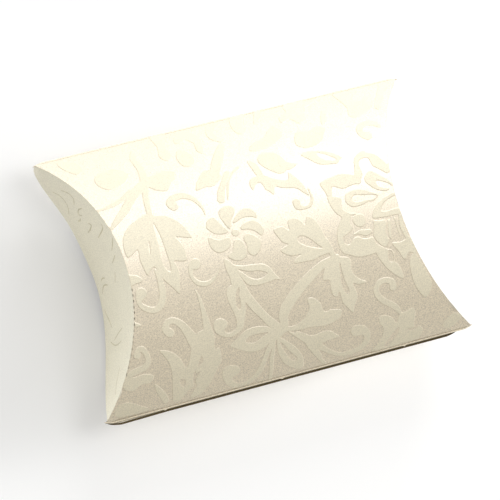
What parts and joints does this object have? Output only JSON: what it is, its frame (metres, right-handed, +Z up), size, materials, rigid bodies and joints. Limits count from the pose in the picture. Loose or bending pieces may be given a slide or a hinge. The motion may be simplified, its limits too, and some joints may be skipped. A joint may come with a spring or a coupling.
{
  "type": "pillow box",
  "caption": "Pillow-shaped card keepsake box with bowed panels, straight side folds, a glued seam and curved end flaps that swing open; embossed floral scrollwork.",
  "frame": {"origin": "bottom centre of the level box: under the crown of the lower panel", "axes": "+Z up, square to the middle plane through both straight folds; X along the straight folds, end point to end point; +Y from the glued front fold to the rear fold"},
  "size_m": [0.0934, 0.0646, 0.026],
  "materials": {
    "panel_card": "pearl satin, embossed",
    "fold_card": "pearl satin, scored",
    "flap_card": "pearl satin",
    "inside_card": "matte",
    "dried_glue": "matte"
  },
  "bodies": {
    "sleeve": {"top_panel": "panel_card", "bottom_panel": "panel_card", "rear_fold": "fold_card", "front_fold": "fold_card", "glue_tab": "inside_card", "glue_line": "dried_glue"},
    "left_outer": {"left_outer_flap": "flap_card"},
    "right_outer": {"right_outer_flap": "flap_card"},
    "left_inner": {"left_inner_flap": "flap_card"},
    "right_inner": {"right_inner_flap": "flap_card"}
  },
  "joints": [
    {"name": "left_outer_fold", "type": "hinge", "parent": "sleeve", "child": "left_outer", "pos_m": [-0.0337, 0, 0.0258], "axis": [0, 1, 0], "range_deg": [0, 110]},
    {"name": "right_outer_fold", "type": "hinge", "parent": "sleeve", "child": "right_outer", "pos_m": [0.0337, 0, 0.0258], "axis": [0, -1, 0], "range_deg": [0, 110]},
    {"name": "left_inner_fold", "type": "hinge", "parent": "sleeve", "child": "left_inner", "pos_m": [-0.0337, 0, 0.0002], "axis": [0, -1, 0], "range_deg": [0, 77]},
    {"name": "right_inner_fold", "type": "hinge", "parent": "sleeve", "child": "right_inner", "pos_m": [0.0337, 0, 0.0002], "axis": [0, 1, 0], "range_deg": [0, 77]}
  ],
  "couplings": [
    {"joint": "left_inner_fold", "follows": "left_outer_fold", "ratio": 0.7},
    {"joint": "right_inner_fold", "follows": "right_outer_fold", "ratio": 0.7}
  ]
}
